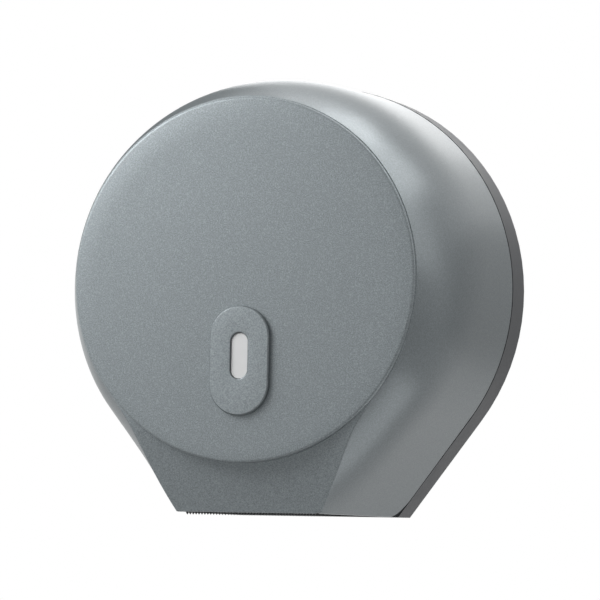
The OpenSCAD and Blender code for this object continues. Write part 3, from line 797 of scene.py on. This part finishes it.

# %% [markdown]
# ## Which finish goes where
#
# Each piece takes the finish of its CAD node's material slot. The cover has two, because its
# front is sandy and its cheek is smooth and painted darker as shade: a face belongs to the
# cheek if it lies deeper than the chin does at its height. Two objects would show a joint
# there that isn't on the real one. The bezel's edges take the smooth paint too, so that they
# catch the light, and with it they take its painted shade.

# %% Put the finishes on
BY_SLOT = {"silver_plastic": sandy_silver, "dark_plastic": dark_plastic,
           "hub_plastic": hub_plastic, "milky_plastic": milky_plastic, "steel": steel,
           "rubber": rubber, "cardboard": core_card, "paper": tissue}


def of_faces(piece, what):
    """The centres or the normals of a piece's faces, as one (faces, 3) array."""
    values = np.zeros(len(piece.data.polygons) * 3)
    piece.data.polygons.foreach_get(what, values)
    return values.reshape(-1, 3)


def second_finish(piece, material, chosen):
    """Gives a piece a second material on the faces for which chosen is True."""
    piece.data.materials.append(material)
    piece.data.polygons.foreach_set("material_index", chosen.astype(np.int32))
    print(piece.name, "faces in", material.name + ":", int(chosen.sum()))


for node, piece in pieces.items():
    piece.data.materials.append(BY_SLOT[slot_of[node]])
for node, original in nodes.items():
    original.data.materials.clear()
    original.data.materials.append(BY_SLOT[slot_of[node]])

centre = of_faces(cover, "center")
# The cheek's faces take the smooth paint, whose darker colour is painted shade.
second_finish(cover, smooth_shaded_silver, centre[:, 1] - DISC_Y > chin_depth(centre[:, 2]) + FILLET)
bezel.data.materials[0] = bezel_silver
FACING_FRONT = -0.97  # a flat front face's normal has y near -1
# The bezel's edges take the smooth paint too, with its painted shade.
second_finish(bezel, smooth_shaded_silver, of_faces(bezel, "normal")[:, 1] > FACING_FRONT)

# %% [markdown]
# ## The studio
#
# The dispenser hangs on a wall, so it floats here over a plain pale floor, in front of
# white. The camera stands a little below it, to the right, far away with a long lens, as in
# the photograph, where its place was found by fitting the disc's ellipse, the tray's rim and
# the corners of the foot. A short lens close by would show the same side, but with a nearer
# side that looks too large.

# %% Camera
AZIMUTH, ELEVATION, ROLL = (math.radians(v) for v in (21.79, -3.84, 1.22))
AIM, DISTANCE = Vector((-0.0208, 0, -0.00253)), 2.6265
FOCAL_PX, FRAME_PX, FILM_MM = 3977.7, 600, 36
back = Vector((math.sin(AZIMUTH) * math.cos(ELEVATION),
               -math.cos(AZIMUTH) * math.cos(ELEVATION), math.sin(ELEVATION)))
level = Vector((math.cos(AZIMUTH), math.sin(AZIMUTH), 0))
up = level.cross(-back)
right = math.cos(ROLL) * level + math.sin(ROLL) * up
above = -math.sin(ROLL) * level + math.cos(ROLL) * up
eye = AIM + back * DISTANCE
lens = bpy.data.cameras.new("camera")
lens.sensor_width, lens.lens = FILM_MM, FOCAL_PX * FILM_MM / FRAME_PX
lens.clip_start, lens.clip_end = 0.05, 60
camera = in_scene("camera", lens)
turned_to = Matrix((right, above, back)).transposed().to_4x4()
camera.matrix_world = Matrix.Translation(eye) @ turned_to
bpy.context.scene.camera = camera
print("lens:", round(lens.lens, 1), "mm, camera height:", round(eye.z, 3), "m")

# %% [markdown]
# ## Lamps
#
# On satin paint most of what is seen is the lamps' reflections, so their places matter more
# than their strength. A soft lamp at the left and front lights the disc. The others stand
# round and behind the dispenser, where only the swelling cheek mirrors them towards the
# camera, as a bright band over the upper right. One big dome of light would be simpler, but
# it would leave the cheek flat.

# %% Lamps
TARGET = Vector((0, -0.08, 0))  # the middle of the dispenser, which lamps and cards face


def softbox(name, place, size, power):
    """An area lamp of the given width and height, in metres, that looks at the target."""
    lamp = bpy.data.lights.new(name, "AREA")
    lamp.shape, lamp.size, lamp.size_y, lamp.energy = "RECTANGLE", *size, power
    holder = in_scene(name, lamp)
    turn = (TARGET - Vector(place)).to_track_quat("-Z", "Y").to_matrix().to_4x4()
    holder.matrix_world = Matrix.Translation(Vector(place)) @ turn
    holder.visible_camera = False


softbox("left front box", (-0.56, -0.55, 0.42), (0.5, 0.5), 7.0)
softbox("right box", (1.37, 0.20, 0.60), (0.7, 0.8), 2.3)
softbox("high right box", (0.86, 0.38, 1.14), (0.8, 0.7), 5.9)
softbox("high back box", (0.33, 0.49, 1.35), (0.5, 0.5), 4.2)
softbox("overhead box", (-0.11, 0.57, 1.35), (0.5, 0.5), 1.4)
softbox("low back box", (-0.27, 1.30, 0.51), (0.8, 0.5), 2.0)
softbox("low right box", (0.35, -0.02, -0.43), (0.3, 0.3), 0.35)
print("lamps:", len(bpy.data.lights))

# %% [markdown]
# ## White surroundings and the floor
#
# The photograph's background is plain white. A world that bright would also light the
# dispenser from every side and wash out its shape, so the world and the floor are white only
# to rays that come from the camera, a reflection or a clear part, and dim to the rest.

# %% World and floor
WORLD_DIM, FLOOR_GLOW = 0.2, 0.7
FLOOR_HALF, FLOOR_Z = 4.0, -0.5


def seen_by_eye(tree):
    """1 for a ray from the camera, a reflection or a clear part, else 0: the largest of the
    three marks."""
    path = tree.nodes.new("ShaderNodeLightPath")
    seen = path.outputs["Is Camera Ray"]
    for ray in ("Is Glossy Ray", "Is Transmission Ray"):
        either = tree.nodes.new("ShaderNodeMath")
        either.operation = "MAXIMUM"
        tree.links.new(seen, either.inputs[0])
        tree.links.new(path.outputs[ray], either.inputs[1])
        seen = either.outputs[0]
    return seen


def four_corners(name, corners, material):
    """A flat sheet of one face with the given corners."""
    mesh = bpy.data.meshes.new(name)
    mesh.from_pydata(corners, [], [(0, 1, 2, 3)])
    mesh.materials.append(material)
    return in_scene(name, mesh)


world = bpy.data.worlds.new("studio")
bpy.context.scene.world = world
world.use_nodes = True
tree = world.node_tree
level_of = tree.nodes.new("ShaderNodeMapRange")
level_of.inputs["To Min"].default_value = WORLD_DIM
level_of.inputs["To Max"].default_value = 1.0
tree.links.new(seen_by_eye(tree), level_of.inputs["Value"])
tree.links.new(level_of.outputs["Result"], tree.nodes["Background"].inputs["Strength"])
tree.nodes["Background"].inputs["Color"].default_value = (1, 1, 1, 1)

ground = Finish("pale_floor", Roughness=0.8, Emission_Color=(1, 1, 1, 1))
glow = ground.add("Math", {0: seen_by_eye(ground.material.node_tree), 1: FLOOR_GLOW},
                  operation="MULTIPLY").outputs[0]
ground.set(Base_Color=ground.ramp(ground.noise(3, 2.0), [(LOW, 0.19), (HIGH, 0.21)]),
           Emission_Strength=glow)
SQUARE = ((-1, -1), (1, -1), (1, 1), (-1, 1))
floor = four_corners("floor", [(FLOOR_HALF * i, FLOOR_HALF * j, FLOOR_Z) for i, j in SQUARE],
                     ground.material)
print("floor:", 2 * FLOOR_HALF, "m wide, at z =", FLOOR_Z)

# %% [markdown]
# ## Cards for the reflections
#
# White on every side makes satin paint look chalky. Photographers set dark or grey cards
# beside a shiny object, and the same is done here. The cards are seen only in reflections,
# so they cast no shadow, and the paint, the pins and the screws show them as darker bands. A
# darker paint could be used instead, but then it would be too dark where it faces a lamp.

# %% Cards that are seen only in reflections
CARD_GREYS, GREY_GLOW = [(LOW, 0.04), (HIGH, 0.06)], 0.45


def card_finish(name, **steady):
    """A dull dark surface with faint clouds, 30 to the metre."""
    made = Finish(name, Roughness=0.9, **steady)
    made.set(Base_Color=made.ramp(made.noise(30, 3.0), CARD_GREYS))
    return made.material


def card(name, material, place, size):
    """A card of the given width and height that faces the target: its corners are the place
    plus or minus half the width across and half the height up."""
    aim = (TARGET - Vector(place)).normalized()
    across = aim.cross(Vector((0, 0, 1))).normalized()
    tall = across.cross(aim)
    made = four_corners(name, [tuple(Vector(place) + across * (i * size[0] / 2)
                                     + tall * (j * size[1] / 2)) for i, j in SQUARE], material)
    made.visible_camera = made.visible_diffuse = made.visible_shadow = False


felt = card_finish("dark_felt")
grey_paper = card_finish("grey_paper", Emission_Color=(1, 1, 1, 1), Emission_Strength=GREY_GLOW)
card("right card", grey_paper, (0.70, 1.01, 0.05), (1.1, 0.7))
card("left card", felt, (-0.85, 0.74, 0.55), (0.75, 0.9))
print("stage pieces: the floor and two cards")

# %% [markdown]
# ## Colours as written
# The Standard view shows a colour as it is written, without a film's curve.

# %% Colour handling
bpy.context.scene.view_settings.view_transform = "Standard"
